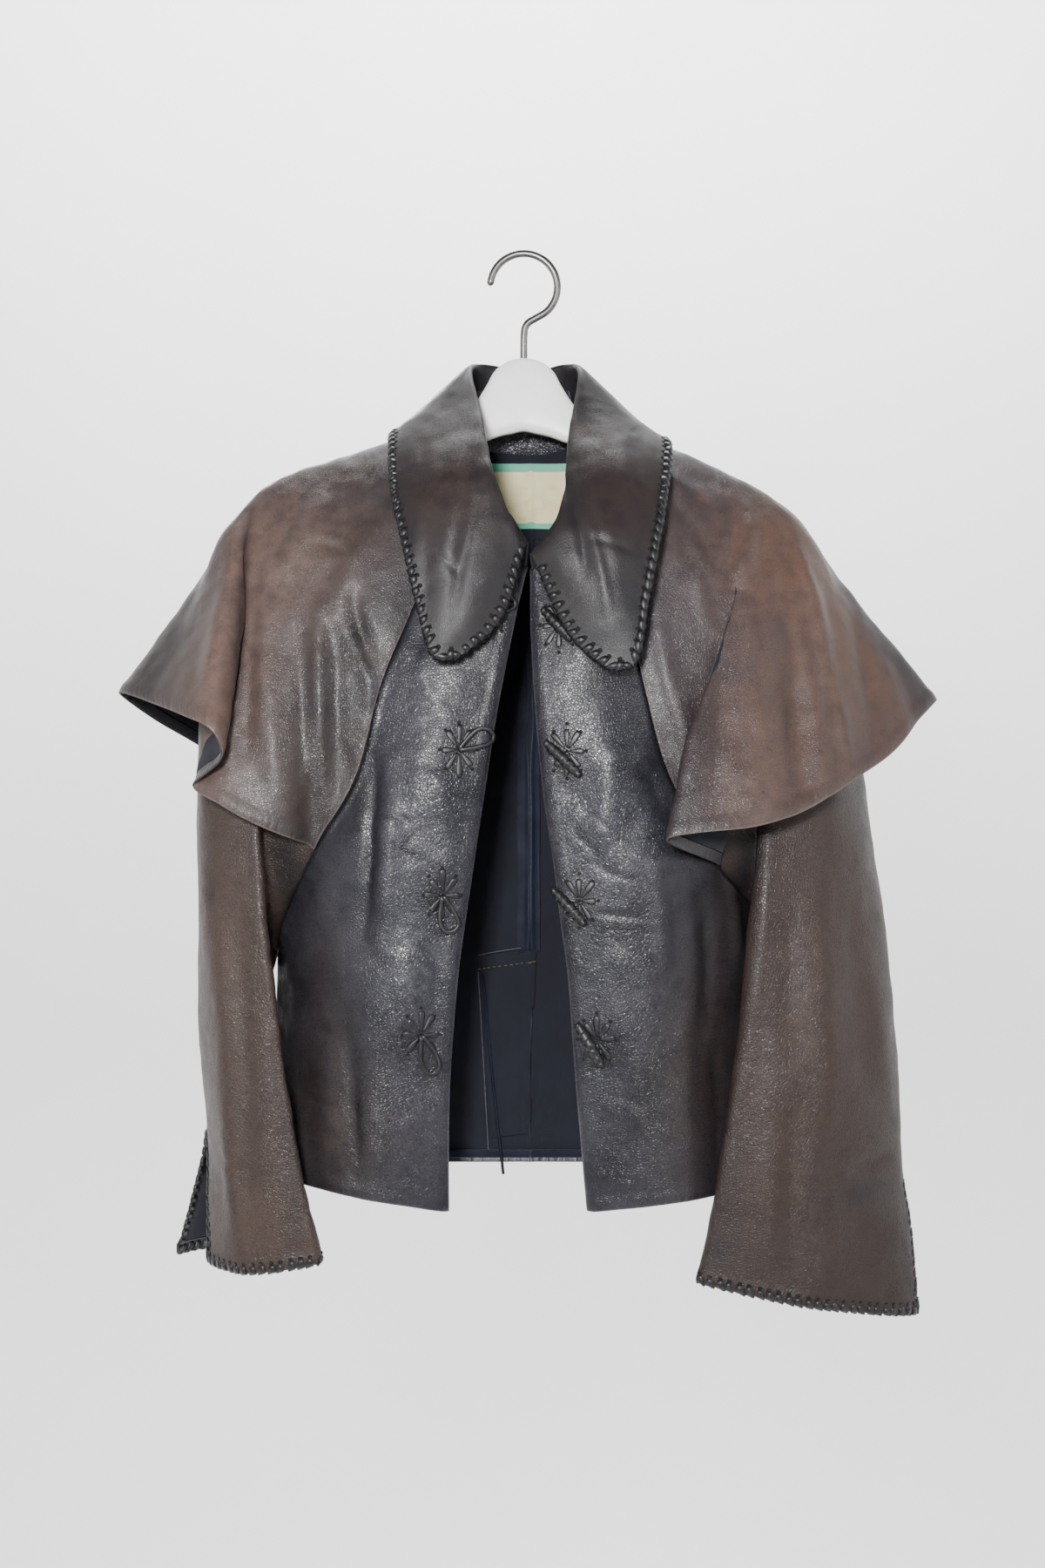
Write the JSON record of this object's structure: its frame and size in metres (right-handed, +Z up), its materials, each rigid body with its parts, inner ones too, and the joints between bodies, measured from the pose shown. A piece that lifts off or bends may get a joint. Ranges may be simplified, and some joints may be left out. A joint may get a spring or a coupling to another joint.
{
  "type": "worn leather jacket on a clothes hanger",
  "caption": "Worn navy and brown leather jacket with shoulder capes, laced dagger collar and toggle closures, hanging open on a white hanger.",
  "frame": {"origin": "inner apex of the hanger's hook, where a rail or wall hook would carry it", "axes": "+Z up, the jacket's front faces -Y, the garment's left side is at +X"},
  "size_m": [0.6334, 0.2074, 0.8199],
  "materials": {
    "navy_leather": "worn gloss",
    "brown_leather": "worn satin",
    "collar_leather": "worn gloss",
    "navy_suede": "flesh side, matt",
    "leather_lace": "satin",
    "label_cloth": "woven, matt",
    "white_plastic": "smooth",
    "brushed_steel": "brushed"
  },
  "bodies": {
    "root": {"front_right": "navy_leather", "front_left": "navy_leather", "back_right": "navy_leather", "back_left": "navy_leather", "sleeve_right": "brown_leather", "sleeve_left": "brown_leather", "cape_right": "brown_leather", "cape_left": "brown_leather", "collar": "collar_leather", "neck_band": "navy_leather", "label": "label_cloth", "vent_underlap": "navy_suede", "seam_allowance_right": "navy_suede", "seam_allowance_left": "navy_suede", "hem_band_right": "navy_suede", "hem_band_left": "navy_suede", "flower_right_1": "leather_lace", "flower_right_2": "leather_lace", "flower_right_3": "leather_lace", "flower_right_4": "leather_lace", "flower_left_1": "leather_lace", "flower_left_2": "leather_lace", "flower_left_3": "leather_lace", "flower_left_4": "leather_lace", "loop_1": "leather_lace", "loop_2": "leather_lace", "loop_3": "leather_lace", "loop_4": "leather_lace", "toggle_1": "leather_lace", "toggle_2": "leather_lace", "toggle_3": "leather_lace", "toggle_4": "leather_lace", "hanger_body": "white_plastic", "hanger_hook": "brushed_steel"}
  },
  "joints": []
}
